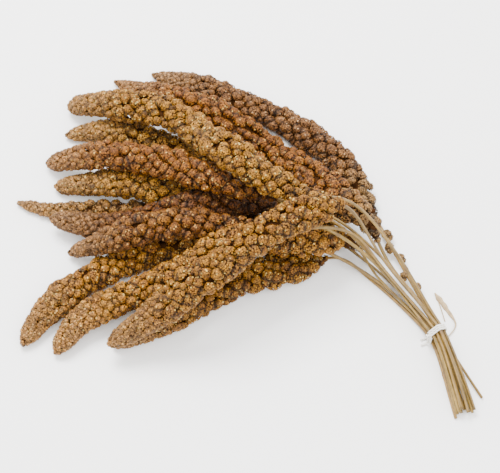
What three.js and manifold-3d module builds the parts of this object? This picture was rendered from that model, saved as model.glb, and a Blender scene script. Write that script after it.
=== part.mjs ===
// A tied bunch of spray millet, lying down: thirteen seed heads, each grown in one piece with its bare
// stem, a white thread wound round the stems, and a dry shred of leaf caught in the thread.
// Millimetres, +Z up. The table is z = 0, and the origin lies on it, under the middle of the bunch.

import * as THREE from "three";
import { mergeVertices } from "three/addons/utils/BufferGeometryUtils.js";
import Module from "manifold-3d";

const wasm = await Module();
wasm.setup();

// The tie: where the stems are bound, which way they run there, and how closely they are packed
const TIE = new THREE.Vector2(141, -91);
const TIE_HEADING = THREE.MathUtils.degToRad(-66);
const TIE_GRIP = 8; // half the length over which the bound stems run side by side
const STEM_PITCH = 2.75;
const CUT_LENGTH = 65; // from the tie to the middle of the cut ends
const CUT_HEADING = THREE.MathUtils.degToRad(-74);

// The thread: its own diameter, its gap to the stems, its turns, and its two loose ends, which lie on
// the table
const THREAD = 1.6;
const THREAD_GAP = 0.45;
const TURNS = 3;
const THREAD_TAILS = [[[130, -92], [134, -90.5]], [[130, -96.5], [134, -95]]];

// The shred of dry leaf: where it runs from the tie, and the thin strand that hangs back from its end
const SHRED = [[146.5, -92], [151.5, -88.5], [158, -78.5], [151, -64], [144, -51.5]];
const SHRED_STRAND = [[144.5, -53], [147, -62], [150, -76]];
const SHRED_WIDTH = 2.4;

// Stems and heads
const STEM_RADIUS = 1.2;
const CLEAR = 0.8; // least gap between neighbouring pieces
const PRESSED = 0.8; // height of a head as a share of its width, by the weight on it
const FLAT = 1.8; // how far the table flattens the underside of a head that lies on it
const SAMPLE = 4; // between neighbouring points of a laid route
const STRAY_REACH = 6.5; // how far the loose clusters behind a head stand out from its stem
const STRAY_STEP = 13; // between loose clusters

// A head's relief: lobes in staggered rows, each a cluster of seeds, larger than life
const COLUMNS = 12; // two to a lobe
const ROW = 6.2; // between rings, two to a row of lobes
const RELIEF = 0.3;

// The middle of the plan that the routes are drawn in
const MIDDLE = new THREE.Vector2(-8, 2);

// The heads in the order in which they lie on each other, lowest first. route: where the head's
// centreline runs over the table, from its tip to where its bare stem turns to the tie. tip and girth: its
// radius behind the rounded tip, and its largest. seeds: length of the seed head. thins: the last stretch
// of it, in which it thins to the stem. strays: loose clusters behind it. slot: its stem's place across
// the tie, in stems. cut: the same at the cut end, in millimetres, and trim: what it lacks there.
const HEADS = [
  {
    number: 13, tip: 8, girth: 14.5, seeds: 185, thins: 30, strays: 0, slot: -1.5, cut: -7.5, trim: 0,
    route: [[-105, -99], [-57, -74], [-12, -48], [39, -31], [71, -22], [97, -42]],
  },
  {
    number: 7, tip: 5.5, girth: 9, seeds: 140, thins: 40, strays: 0, slot: -0.5, cut: -2, trim: 3,
    route: [[-189, 30], [-157, 21], [-113, 23], [-80, 22], [-40, 10], [50, -18], [98, -42]],
  },
  {
    number: 4, tip: 7.5, girth: 14, seeds: 266, thins: 42, strays: 0, slot: 0.5, cut: 0.5, trim: 4,
    route: [[-155, 95], [-117, 96], [-66, 81], [-22, 60], [15, 38], [40, 18], [75, -10], [106, -38]],
  },
  {
    number: 1, tip: 6.5, girth: 14.5, seeds: 245, thins: 35, strays: 6, slot: 1.5, cut: 17, trim: 10,
    route: [[-85, 159], [-30, 134], [29, 105], [74, 65], [93, 28], [108, -4], [124, -42]],
  },
  {
    number: 10, tip: 8.5, girth: 14.5, seeds: 304, thins: 48, strays: 0, slot: -1, cut: -6, trim: 2,
    route: [
      [-173, -99], [-157, -73], [-128, -46], [-94, -26], [-47, -15], [-8, -15], [39, -21], [79, -16],
      [100, -42],
    ],
  },
  {
    number: 6, tip: 9, girth: 14, seeds: 178, thins: 50, strays: 0, slot: 0, cut: 4, trim: 2,
    route: [[-160, 44], [-113, 41], [-68, 31], [-20, 22], [30, 4], [70, -12], [104, -38]],
  },
  {
    number: 2, tip: 5, girth: 16, seeds: 292, thins: 45, strays: 0, slot: 1, cut: 5.5, trim: 0,
    route: [[-117, 152], [-75, 127], [-13, 95], [35, 58], [68, 16], [92, -5], [109, -34]],
  },
  {
    number: 8, tip: 8, girth: 14, seeds: 205, thins: 55, strays: 0, slot: -0.5, cut: -1, trim: 5,
    route: [[-160, 9], [-122, 2], [-79, 3], [-28, 14], [0, 16], [60, -8], [102, -39]],
  },
  {
    number: 5, tip: 8.5, girth: 14, seeds: 212, thins: 60, strays: 0, slot: 0.5, cut: 2.5, trim: 1,
    route: [[-168, 66], [-117, 57], [-67, 41], [-19, 18], [10, 14], [60, -4], [105, -36]],
  },
  {
    number: 9, tip: 7, girth: 14, seeds: 165, thins: 50, strays: 0, slot: -1.5, cut: -4.5, trim: 2,
    route: [[-144, -18], [-112, -19], [-77, -16], [-15, -13], [20, -10], [66, -20], [100, -41]],
  },
  {
    number: 3, tip: 10.5, girth: 15, seeds: 280, thins: 60, strays: 0, slot: 1.5, cut: 7, trim: 1,
    route: [[-154, 124], [-107, 108], [-57, 90], [-12, 30], [35, 8], [78, 1], [112, -34]],
  },
  {
    number: 11, tip: 8, girth: 14.5, seeds: 212, thins: 55, strays: 0, slot: -0.5, cut: -3, trim: 3,
    route: [[-148, -106], [-126, -79], [-84, -58], [-45, -48], [-8, -32], [40, -20], [78, -20], [102, -43]],
  },
  {
    number: 12, tip: 9, girth: 15, seeds: 218, thins: 30, strays: 0, slot: 0.5, cut: 1.5, trim: 0,
    route: [[-107, -104], [-77, -89], [-48, -75], [-19, -61], [11, -38], [47, -18], [73, -9], [104, -40]],
  },
];

// The length of route over which a head comes from its tip's radius to its full girth, and how much of it
// the rounded end takes
const TIP_TAPER = 55;
const TIP_ROUND = 10;

const across = new THREE.Vector2(-Math.sin(TIE_HEADING), Math.cos(TIE_HEADING));
const along = new THREE.Vector2(Math.cos(TIE_HEADING), Math.sin(TIE_HEADING));
const cutAlong = new THREE.Vector2(Math.cos(CUT_HEADING), Math.sin(CUT_HEADING));
const cutAcross = new THREE.Vector2(-Math.sin(CUT_HEADING), Math.cos(CUT_HEADING));

// 0 to 1 as x goes from 0 to 1, with level ends
function ease(x) {
  const t = Math.min(1, Math.max(0, x));
  return t * t * (3 - 2 * t);
}

// A head's radius, to the tops of its clusters, at a distance behind its tip
function headRadius(head, s) {
  const wave = 1 - 0.05 * (1 + Math.sin(s / 17 + head.number * 2.1));
  const full = head.tip + (head.girth - head.tip) * ease(s / TIP_TAPER);
  const round = Math.sqrt(ease((s + 1) / (TIP_ROUND + 4)));
  const base = Math.sqrt(ease((head.seeds - s) / head.thins));
  return full * wave * round * base;
}

// How far a point lies from the middle of the tie, over the table
function fromTie(p) {
  return Math.hypot(p.x - TIE.x, p.y - TIE.y);
}

// What a route must keep clear beside itself: the head, then its loose clusters, then the bare stem.
// Above and below itself the head needs less, by the share. The tip counts as full, so that it doesn't droop.
function reach(head, s, share) {
  const behind = head.seeds + head.strays * STRAY_STEP;
  const stem = head.strays && s > head.seeds - 20 && s < behind ? STRAY_REACH : STEM_RADIUS;
  return Math.max(share * headRadius(head, Math.max(s, TIP_ROUND)), stem);
}

// The route over the table of a head and its stem, in even steps
function planRoute(head) {
  const bound = (offset) =>
    TIE.clone().addScaledVector(along, offset).addScaledVector(across, head.slot * STEM_PITCH);
  const end = TIE.clone()
    .addScaledVector(cutAlong, CUT_LENGTH - head.trim)
    .addScaledVector(cutAcross, head.cut);
  const points = [
    ...head.route.map(([x, y]) => new THREE.Vector2(x, y)),
    bound(-TIE_GRIP),
    bound(TIE_GRIP),
    end,
  ];
  const curve = new THREE.CatmullRomCurve3(points.map((p) => new THREE.Vector3(p.x, p.y, 0)));
  return curve.getSpacedPoints(Math.round(curve.getLength() / SAMPLE));
}

// Lays the heads down one after the other. Each sinks until it meets the table or what already lies
// there, and its own stiffness then lifts it off the hollows between those places.
const PASSES = 2500;
const STIFFNESS = 0.1;

function lay(heads) {
  const laid = [];
  return heads.map((head) => {
    const route = planRoute(head);
    const wide = route.map((p, k) => reach(head, k * SAMPLE, 1));
    const high = route.map((p, k) => reach(head, k * SAMPLE, PRESSED));
    const lowest = route.map((p, k) => {
      const flat = k * SAMPLE < head.seeds ? FLAT * ease(high[k] / 8) : 0;
      let z = high[k] - flat + (fromTie(p) < TIE_GRIP ? THREAD + THREAD_GAP : 0);
      for (const o of laid) {
        const near = Math.hypot(p.x - o.x, p.y - o.y) / (wide[k] + o.wide + CLEAR);
        if (near < 1) z = Math.max(z, o.z + (high[k] + o.high + CLEAR) * Math.sqrt(1 - near * near));
      }
      return z;
    });
    const bound = route.map((p) => fromTie(p) < TIE_GRIP);
    let z = lowest.slice();
    // The stem starts out straight from the head to the tie
    const neck = Math.min(Math.round(head.seeds / SAMPLE), route.length - 1);
    const tie = bound.indexOf(true) - 2;
    for (let k = neck; k < tie; k++) {
      const line = z[neck] + ((z[tie] - z[neck]) * (k - neck)) / (tie - neck);
      z[k] = Math.max(z[k], line);
    }
    const last = z.length - 1;
    const at = (k) => (k < 0 ? 2 * z[0] - z[-k] : k > last ? 2 * z[last] - z[2 * last - k] : z[k]);
    for (let pass = 0; pass < PASSES; pass++) {
      z = z.map((here, k) => {
        if (bound[k]) return lowest[k];
        const bend = 4 * (at(k - 1) + at(k + 1)) - at(k - 2) - at(k + 2) - 6 * here;
        return Math.max(lowest[k], here + STIFFNESS * bend);
      });
    }
    route.forEach((p, k) => laid.push({ x: p.x, y: p.y, z: z[k], wide: wide[k], high: high[k] }));
    return route.map((p, k) => new THREE.Vector3(p.x, p.y, z[k]));
  });
}

// A closed geometry as a solid
function solid(geometry) {
  const bare = geometry.clone();
  bare.deleteAttribute("normal");
  bare.deleteAttribute("uv");
  const merged = mergeVertices(bare, 1e-4);
  return new wasm.Manifold(
    new wasm.Mesh({
      numProp: 3,
      vertProperties: new Float32Array(merged.attributes.position.array),
      triVerts: new Uint32Array(merged.index.array),
    }),
  );
}

// A solid as a geometry
function geometryOf(made) {
  const mesh = made.getMesh();
  const geometry = new THREE.BufferGeometry();
  geometry.setAttribute("position", new THREE.BufferAttribute(mesh.vertProperties, 3));
  geometry.setIndex(new THREE.BufferAttribute(mesh.triVerts, 1));
  return geometry;
}

// A repeatable random draw from 0 to 1
function seededRandom(seed) {
  let state = seed;
  return () => {
    state = (Math.imul(state, 1664525) + 1013904223) >>> 0;
    return state / 4294967296;
  };
}

// The frame at a distance along a laid route: the point, and the directions beside and above it
function frameAt(path, s) {
  const u = Math.min(1, Math.max(0, s / path.getLength()));
  const point = path.getPointAt(u);
  const ahead = path.getTangentAt(u);
  const beside = new THREE.Vector3(0, 0, 1).cross(ahead).normalize();
  const above = ahead.clone().cross(beside).normalize();
  return { point, ahead, beside, above };
}

// The seed head: a lathe turned round the route instead of a straight axis, its rings twisted by half a
// column each so that the lobes stand in staggered rows
function seedHead(head, path) {
  const random = seededRandom(head.number * 7919);
  const rings = Math.round(head.seeds / ROW);
  const profile = [];
  for (let i = 0; i <= rings; i++) {
    const s = (head.seeds * i) / rings;
    profile.push(new THREE.Vector2(i === 0 || i === rings ? 0 : headRadius(head, s), s));
  }
  const geometry = new THREE.LatheGeometry(profile, COLUMNS);
  const position = geometry.attributes.position;
  const lobes = profile.map(() =>
    Array.from({ length: COLUMNS }, () => ({ swell: random(), turn: random(), shift: random() })),
  );
  for (let column = 0; column <= COLUMNS; column++) {
    for (let i = 0; i <= rings; i++) {
      const { swell, turn, shift } = lobes[i][column % COLUMNS];
      const top = i % 2 === 0 && column % 2 === 0;
      const fine = 0.4 + 0.6 * ease(profile[i].y / TIP_TAPER); // lobes are flatter towards the tip
      const depth = RELIEF * fine * (top ? 0.3 * swell : 0.8 + 0.2 * swell);
      const angle = ((column + i / 2 + 0.5 * (turn - 0.5)) * 2 * Math.PI) / COLUMNS;
      const inside = i > 0 && i < rings;
      const s = profile[i].y + (inside ? 0.4 * ROW * (shift - 0.5) : 0);
      const f = frameAt(path, s);
      const r = profile[i].x * (1 - depth);
      const p = f.point
        .addScaledVector(f.beside, -r * Math.sin(angle))
        .addScaledVector(f.above, PRESSED * r * Math.cos(angle));
      position.setXYZ(column * (rings + 1) + i, p.x, p.y, p.z);
    }
  }
  return solid(geometry);
}

// The bare stem, from inside the head to its cut end
function stem(head, path) {
  const start = head.seeds - 30;
  const length = path.getLength();
  const points = [];
  const steps = Math.round((length - start) / 9);
  for (let k = 0; k <= steps; k++) {
    points.push(frameAt(path, start + ((length - start) * k) / steps).point);
  }
  return bar(points, STEM_RADIUS, 6, steps);
}

// Loose clusters behind the head, on alternate sides of the stem
function strays(head, path) {
  const random = seededRandom(head.number * 104729);
  return Array.from({ length: head.strays }, (_, k) => {
    const size = 4.6 - 0.35 * k + 0.5 * random();
    const f = frameAt(path, head.seeds + STRAY_STEP * (k + 0.1 + 0.3 * random()));
    const angle = (k % 2 ? 1.9 : -1.5) + 0.6 * (random() - 0.5);
    const out = STRAY_REACH - size - 0.3;
    const centre = f.point
      .addScaledVector(f.beside, out * Math.sin(angle))
      .addScaledVector(f.above, out * Math.cos(angle));
    const knob = new THREE.IcosahedronGeometry(size, 0);
    knob.translate(centre.x, centre.y, centre.z);
    return solid(knob);
  });
}

// All that lies below the table's surface
const belowTable = (() => {
  const slab = new THREE.BoxGeometry(600, 600, 20);
  slab.translate(0, 0, -10);
  return solid(slab);
})();

// A round bar of flat sides along a route
function bar(points, radius, sides, steps) {
  const section = new THREE.Shape(
    Array.from({ length: sides }, (_, k) => {
      const turn = (2 * Math.PI * k) / sides;
      return new THREE.Vector2(radius * Math.cos(turn), radius * Math.sin(turn));
    }),
  );
  const extrudePath = new THREE.CatmullRomCurve3(points);
  return solid(new THREE.ExtrudeGeometry(section, { steps, extrudePath, bevelEnabled: false }));
}

// The thread, wound tight round the bound stems: each point of a turn stands off the outermost stem in its
// direction. The loose ends leave the knot on the left.
function thread(routes) {
  const bound = routes.map((route) => {
    const p = route.reduce((a, b) => (fromTie(a) < fromTie(b) ? a : b));
    return new THREE.Vector2((p.x - TIE.x) * across.x + (p.y - TIE.y) * across.y, p.z);
  });
  const off = STEM_RADIUS + THREAD_GAP + THREAD / 2;
  const place = (turn, forward) => {
    const out = new THREE.Vector2(Math.cos(turn), Math.sin(turn));
    const stem = bound.reduce((a, b) => (a.dot(out) > b.dot(out) ? a : b));
    const at = stem.clone().addScaledVector(out, off);
    return new THREE.Vector3(TIE.x, TIE.y, at.y)
      .add(new THREE.Vector3(across.x * at.x, across.y * at.x, 0))
      .add(new THREE.Vector3(along.x * forward, along.y * forward, 0));
  };
  const points = [];
  const perTurn = 16;
  for (let k = 0; k <= perTurn * TURNS; k++) {
    const turns = k / perTurn;
    points.push(place(Math.PI - 2 * Math.PI * turns, (turns - TURNS / 2) * THREAD));
  }
  const [first, second] = THREAD_TAILS.map((tail) =>
    tail.map(([x, y]) => new THREE.Vector3(x, y, THREAD / 2 + 0.5)),
  );
  const knot = new THREE.IcosahedronGeometry(1.35 * THREAD, 0);
  const middle = points[0].clone().add(points[points.length - 1]).multiplyScalar(0.5);
  const left = new THREE.Vector3(-across.x, -across.y, 0).multiplyScalar(0.6 * THREAD);
  knot.translate(middle.x + left.x, middle.y + left.y, middle.z);
  const heart = middle.clone().add(left);
  return bar(points, THREAD / 2, 6, perTurn * TURNS)
    .add(solid(knot))
    .add(bar([...first, heart], THREAD / 2, 6, 4))
    .add(bar([...second, heart], THREAD / 2, 6, 4));
}

// The shred of leaf, widest at its far end
function shred() {
  const lie = (points, z) => points.map(([x, y]) => new THREE.Vector3(x, y, z));
  const half = SHRED_WIDTH / 2;
  const blade = bar(lie(SHRED, half), half, 5, 12);
  return blade.add(bar(lie(SHRED_STRAND, half), half / 2, 4, 6));
}

// The materials, lit as the real things look
const seedMaterial = new THREE.MeshStandardMaterial({ color: 0xa8672e, roughness: 0.8, metalness: 0 });
const threadMaterial = new THREE.MeshStandardMaterial({ color: 0xf2efe6, roughness: 0.85, metalness: 0 });
const leafMaterial = new THREE.MeshStandardMaterial({ color: 0xc9ab84, roughness: 0.9, metalness: 0 });

const bunch = new THREE.Group();

function place(name, made, material) {
  const mesh = new THREE.Mesh(geometryOf(made), material);
  mesh.name = name;
  bunch.add(mesh);
}

const routes = lay(HEADS);
HEADS.forEach((head, n) => {
  const path = new THREE.CatmullRomCurve3(routes[n]);
  path.arcLengthDivisions = routes[n].length * 4;
  const grown = seedHead(head, path).add(stem(head, path));
  const made = strays(head, path).reduce((all, knob) => all.add(knob), grown);
  place("millet_head_" + String(head.number).padStart(2, "0"), made.subtract(belowTable), seedMaterial);
});
place("tie_thread", thread(routes), threadMaterial);
place("dry_leaf_shred", shred(), leafMaterial);
bunch.position.set(-MIDDLE.x, -MIDDLE.y, 0);

export default bunch;
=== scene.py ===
# A tied bunch of dried red spray millet, lying on its side: thirteen long seed heads on bare straw stems,
# a white thread wound round the stems, and a dry shred of leaf that the thread holds.

import math

import bpy
import numpy as np
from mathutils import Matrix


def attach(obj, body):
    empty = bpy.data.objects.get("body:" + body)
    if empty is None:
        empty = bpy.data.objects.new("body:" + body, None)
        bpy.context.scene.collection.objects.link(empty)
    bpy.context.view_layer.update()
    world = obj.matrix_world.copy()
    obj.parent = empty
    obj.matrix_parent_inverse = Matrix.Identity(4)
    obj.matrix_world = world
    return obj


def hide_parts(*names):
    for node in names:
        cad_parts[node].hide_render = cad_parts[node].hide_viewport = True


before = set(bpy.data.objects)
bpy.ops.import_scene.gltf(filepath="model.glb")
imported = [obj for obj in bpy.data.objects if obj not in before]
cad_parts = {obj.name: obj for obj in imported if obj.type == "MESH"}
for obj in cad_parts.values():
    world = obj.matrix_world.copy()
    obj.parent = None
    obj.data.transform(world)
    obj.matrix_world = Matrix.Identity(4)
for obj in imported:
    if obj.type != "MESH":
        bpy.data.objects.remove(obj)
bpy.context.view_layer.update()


# The seed heads
# Each is one sprig of millet: hundreds of round seeds in clusters that crowd round a thin stalk, which
# leaves the head as a bare straw stem. The heads were laid on each other and the stems then gathered, so
# the lowest lie on the table and the others ride over them.

MM = 0.001

TIE = np.array([141, -91]) * MM
TIE_HEADING = math.radians(-66)
TIE_GRIP = 8 * MM  # half the length over which the bound stems run side by side
STEM_PITCH = 2.75 * MM
CUT_LENGTH = 65 * MM  # from the tie to the middle of the cut ends
CUT_HEADING = math.radians(-74)
MIDDLE = np.array([-8, 2]) * MM  # of the plan that the routes are drawn in

STEM_RADIUS = 1.2 * MM
THREAD = 1.6 * MM  # the diameter of the thread round the bound stems
THREAD_GAP = 0.45 * MM
CLEAR = 0.8 * MM  # left between heads that lie on each other
PRESSED = 0.8  # height of a head as a share of its width, by the weight on it
FLAT = 1.8 * MM  # how far the table flattens the underside of a head
FLAT_FROM = 8 * MM  # a head that is thinner than this is flattened less
SAMPLE = 4 * MM  # between the points of a route
STRAY_REACH = 6.5 * MM  # how far the loose clusters behind a head stand out from its stem
STRAY_STEP = 13 * MM
LOOSE_START = 20 * MM  # before the end of the seeds
TIP_TAPER = 55 * MM  # over which a head thickens behind its tip
TIP_ROUND = 10 * MM
SWELL = 0.05  # how much a head swells and narrows along its length, as a share of its radius
SWELL_LENGTH = 17 * MM
PASSES = 2500  # of the smoothing that gives a laid head its stiffness
STIFFNESS = 0.1

# In the order in which they lie on each other, lowest first. Lengths and routes are in millimetres: tip and
# girth are a head's radius behind its tip and its largest, and it thins over the last stretch of its seeds,
# with a number of loose clusters (strays) behind them. slot is the place of its stem among the bound ones,
# cut is how far aside the stem ends, and trim how much shorter it is cut. husk is the colour of its seeds,
# and faded is how dull and olive those at its base are.
HEADS = [
    dict(number=13, tip=8, girth=14.5, seeds=185, thins=30, strays=0, slot=-1.5, cut=-7.5, trim=0,
         husk="gold", faded=0,
         route=[(-105, -99), (-57, -74), (-12, -48), (39, -31), (71, -22), (97, -42)]),
    dict(number=7, tip=5.5, girth=9, seeds=140, thins=40, strays=0, slot=-0.5, cut=-2, trim=3,
         husk="fawn", faded=0,
         route=[(-189, 30), (-157, 21), (-113, 23), (-80, 22), (-40, 10), (50, -18), (98, -42)]),
    dict(number=4, tip=7.5, girth=14, seeds=266, thins=42, strays=0, slot=0.5, cut=0.5, trim=4,
         husk="wheat", faded=0,
         route=[(-155, 95), (-117, 96), (-66, 81), (-22, 60), (15, 38), (40, 18), (75, -10), (106, -38)]),
    dict(number=1, tip=6.5, girth=14.5, seeds=245, thins=35, strays=6, slot=1.5, cut=17, trim=10,
         husk="pink", faded=0.7,
         route=[(-85, 159), (-30, 134), (29, 105), (74, 65), (93, 28), (108, -4), (124, -42)]),
    dict(number=10, tip=8.5, girth=14.5, seeds=304, thins=48, strays=0, slot=-1, cut=-6, trim=2,
         husk="amber", faded=0,
         route=[(-173, -99), (-157, -73), (-128, -46), (-94, -26), (-47, -15), (-8, -15), (39, -21),
                (79, -16), (100, -42)]),
    dict(number=6, tip=9, girth=14, seeds=178, thins=50, strays=0, slot=0, cut=4, trim=2,
         husk="olive", faded=0,
         route=[(-160, 44), (-113, 41), (-68, 31), (-20, 22), (30, 4), (70, -12), (104, -38)]),
    dict(number=2, tip=5, girth=16, seeds=292, thins=45, strays=0, slot=1, cut=5.5, trim=0,
         husk="russet", faded=0.85,
         route=[(-117, 152), (-75, 127), (-13, 95), (35, 58), (68, 16), (92, -5), (109, -34)]),
    dict(number=8, tip=8, girth=14, seeds=205, thins=55, strays=0, slot=-0.5, cut=-1, trim=5,
         husk="umber", faded=0,
         route=[(-160, 9), (-122, 2), (-79, 3), (-28, 14), (0, 16), (60, -8), (102, -39)]),
    dict(number=5, tip=8.5, girth=14, seeds=212, thins=60, strays=0, slot=0.5, cut=2.5, trim=1,
         husk="russet", faded=0,
         route=[(-168, 66), (-117, 57), (-67, 41), (-19, 18), (10, 14), (60, -4), (105, -36)]),
    dict(number=9, tip=7, girth=14, seeds=165, thins=50, strays=0, slot=-1.5, cut=-4.5, trim=2,
         husk="brown", faded=0,
         route=[(-144, -18), (-112, -19), (-77, -16), (-15, -13), (20, -10), (66, -20), (100, -41)]),
    dict(number=3, tip=10.5, girth=15, seeds=280, thins=60, strays=0, slot=1.5, cut=7, trim=1,
         husk="olive", faded=0,
         route=[(-154, 124), (-107, 108), (-57, 90), (-12, 30), (35, 8), (78, 1), (112, -34)]),
    dict(number=11, tip=8, girth=14.5, seeds=212, thins=55, strays=0, slot=-0.5, cut=-3, trim=3,
         husk="amber", faded=0,
         route=[(-148, -106), (-126, -79), (-84, -58), (-45, -48), (-8, -32), (40, -20), (78, -20),
                (102, -43)]),
    dict(number=12, tip=9, girth=15, seeds=218, thins=30, strays=0, slot=0.5, cut=1.5, trim=0,
         husk="gold", faded=0,
         route=[(-107, -104), (-77, -89), (-48, -75), (-19, -61), (11, -38), (47, -18), (73, -9),
                (104, -40)]),
]


def ease(x):
    """0 to 1 as x goes from 0 to 1, with level ends."""
    t = np.clip(x, 0, 1)
    return t * t * (3 - 2 * t)


def heading(angle):
    """The directions along and across a heading over the table."""
    return (np.array([math.cos(angle), math.sin(angle)]),
            np.array([-math.sin(angle), math.cos(angle)]))


def head_radius(head, s):
    """A head's radius, to the tops of its clusters, at a distance behind its tip."""
    wave = 1 - SWELL * (1 + np.sin(s / SWELL_LENGTH + head["number"] * 2.1))
    full = (head["tip"] + (head["girth"] - head["tip"]) * ease(s / TIP_TAPER)) * MM
    rounding = np.sqrt(ease((s + 1 * MM) / (TIP_ROUND + 4 * MM)))
    base = np.sqrt(ease((head["seeds"] * MM - s) / (head["thins"] * MM)))
    return full * wave * rounding * base


def reach(head, s, share):
    """What a route keeps clear round itself: the head, then its loose clusters, then the bare stem."""
    seeds = head["seeds"] * MM
    loose = (head["strays"] > 0) & (s > seeds - LOOSE_START) & (s < seeds + head["strays"] * STRAY_STEP)
    radius = head_radius(head, np.maximum(s, TIP_ROUND))
    return np.maximum(share * radius, np.where(loose, STRAY_REACH, STEM_RADIUS))


def smooth_curve(points, t):
    """Points on the smooth curve through a route, t from 0 to 1 (a centripetal Catmull-Rom spline)."""
    ends = [2 * points[0] - points[1]], [2 * points[-1] - points[-2]]
    p = np.concatenate([ends[0], points, ends[1]])
    i = np.minimum((t * (len(points) - 1)).astype(int), len(points) - 2)
    w = (t * (len(points) - 1) - i)[:, None]
    p0, p1, p2, p3 = p[i], p[i + 1], p[i + 2], p[i + 3]
    d0, d1, d2 = (np.sqrt(np.linalg.norm(b - a, axis=1))[:, None] for a, b in ((p0, p1), (p1, p2), (p2, p3)))
    t1 = ((p1 - p0) / d0 - (p2 - p0) / (d0 + d1) + (p2 - p1) / d1) * d1
    t2 = ((p2 - p1) / d1 - (p3 - p1) / (d1 + d2) + (p3 - p2) / d2) * d1
    return p1 + w * (t1 + w * (-3 * p1 + 3 * p2 - 2 * t1 - t2 + w * (2 * p1 - 2 * p2 + t1 + t2)))


def even_points(points, step, divisions=200):
    """The curve through a route in even steps."""
    fine = smooth_curve(points, np.linspace(0, 1, divisions + 1))
    run = np.concatenate([[0], np.cumsum(np.linalg.norm(np.diff(fine, axis=0), axis=1))])
    count = round(run[-1] / step)
    t = np.interp(np.linspace(0, run[-1], count + 1), run, np.linspace(0, 1, divisions + 1))
    return smooth_curve(points, t)


def plan_route(head):
    """The route over the table of a head and its stem."""
    along, across = heading(TIE_HEADING)
    cut_along, cut_across = heading(CUT_HEADING)
    slot = across * head["slot"] * STEM_PITCH
    end = TIE + cut_along * (CUT_LENGTH - head["trim"] * MM) + cut_across * head["cut"] * MM
    bound = [TIE - along * TIE_GRIP + slot, TIE + along * TIE_GRIP + slot]
    return even_points(np.array([np.array(p) * MM for p in head["route"]] + bound + [end]), SAMPLE)


def lay(heads):
    """Lays the heads down one after the other. Each sinks until it meets the table or what already lies
    there, and its own stiffness then lifts it off the hollows between those places."""
    laid = np.zeros((0, 5))
    routes = []
    for head in heads:
        plan = plan_route(head)
        s = np.arange(len(plan)) * SAMPLE
        wide = reach(head, s, 1)
        high = reach(head, s, PRESSED)
        bound = np.linalg.norm(plan - TIE, axis=1) < TIE_GRIP
        flat = np.where(s < head["seeds"] * MM, FLAT * ease(high / FLAT_FROM), 0)
        lowest = high - flat + np.where(bound, THREAD + THREAD_GAP, 0)
        if len(laid):
            apart = np.linalg.norm(plan[:, None] - laid[None, :, :2], axis=2)
            near = apart / (wide[:, None] + laid[None, :, 3] + CLEAR)
            rise = (high[:, None] + laid[None, :, 4] + CLEAR) * np.sqrt(np.clip(1 - near**2, 0, 1))
            over = np.where(near < 1, laid[None, :, 2] + rise, 0)
            lowest = np.maximum(lowest, over.max(axis=1))
        z = lowest.copy()
        neck = min(round(head["seeds"] * MM / SAMPLE), len(plan) - 1)
        tie = int(np.argmax(bound)) - 2
        # from its seeds to the tie, a stem starts no lower than the straight line between them
        if tie > neck:
            z[neck:tie] = np.maximum(z[neck:tie], np.linspace(z[neck], z[tie], tie - neck + 1)[:-1])
        for _ in range(PASSES):
            # the ends are mirrored, so that they can move freely
            e = np.concatenate([2 * z[0] - z[2:0:-1], z, 2 * z[-1] - z[-2:-4:-1]])
            bend = 4 * (e[1:-3] + e[3:-1]) - e[:-4] - e[4:] - 6 * z
            z = np.where(bound, lowest, np.maximum(lowest, z + STIFFNESS * bend))
        laid = np.concatenate([laid, np.column_stack([plan, z, wide, high])])
        routes.append(np.column_stack([plan, z]))
    return routes


def path_through(route, step=1 * MM):
    """A route in fine steps, and the distance along it."""
    points = even_points(route, step, 4 * len(route)) - [*MIDDLE, 0]
    run = np.concatenate([[0], np.cumsum(np.linalg.norm(np.diff(points, axis=0), axis=1))])
    return points, run


NEARBY = 1.5 * MM  # the way ahead at a place is taken over this much on each side of it


def unit(v):
    """Directions of length one."""
    return v / np.linalg.norm(v, axis=-1, keepdims=True)


def frames_at(path, s):
    """The points at distances along a path, and the directions ahead, beside and above there."""
    points, run = path
    s = np.clip(s, 0, run[-1])

    def at(d):
        return np.stack([np.interp(d, run, points[:, k]) for k in range(3)], axis=-1)

    ahead = unit(at(np.minimum(s + NEARBY, run[-1])) - at(np.maximum(s - NEARBY, 0)))
    beside = unit(np.cross([0, 0, 1], ahead))
    return at(s), ahead, beside, np.cross(ahead, beside)


def stray_draws(seed):
    """The repeatable draws from 0 to 1 that also place the loose clusters of the solids."""
    state = seed
    while True:
        state = (state * 1664525 + 1013904223) % 2**32
        yield state / 2**32


# A seed is a low dome. Its dark foot, painted shade where it sits between its neighbours, comes from how
# high a point is on it.
SEED_SIDES = 6
SEED_RADIUS = 0.9 * MM
SEED_HEIGHT = 0.85  # of its radius
SEED_SIZES = (0.86, 1.12)  # the smallest and the largest, of the usual size
SEED_OVAL = 0.06  # how much longer it is one way, and shorter the other


def seed_dome():
    """The points of one seed, how high each is on it, and its faces."""
    turn = np.arange(SEED_SIDES) * 2 * math.pi / SEED_SIDES
    ring = np.column_stack([np.cos(turn), np.sin(turn), np.zeros(SEED_SIDES)])
    points = np.concatenate([[[0, 0, SEED_HEIGHT]], ring])
    k = np.arange(SEED_SIDES)
    faces = np.column_stack([np.zeros(SEED_SIDES, int), 1 + k, 1 + (k + 1) % SEED_SIDES])
    return points, np.array([1.0] + [0.0] * SEED_SIDES), faces


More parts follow.
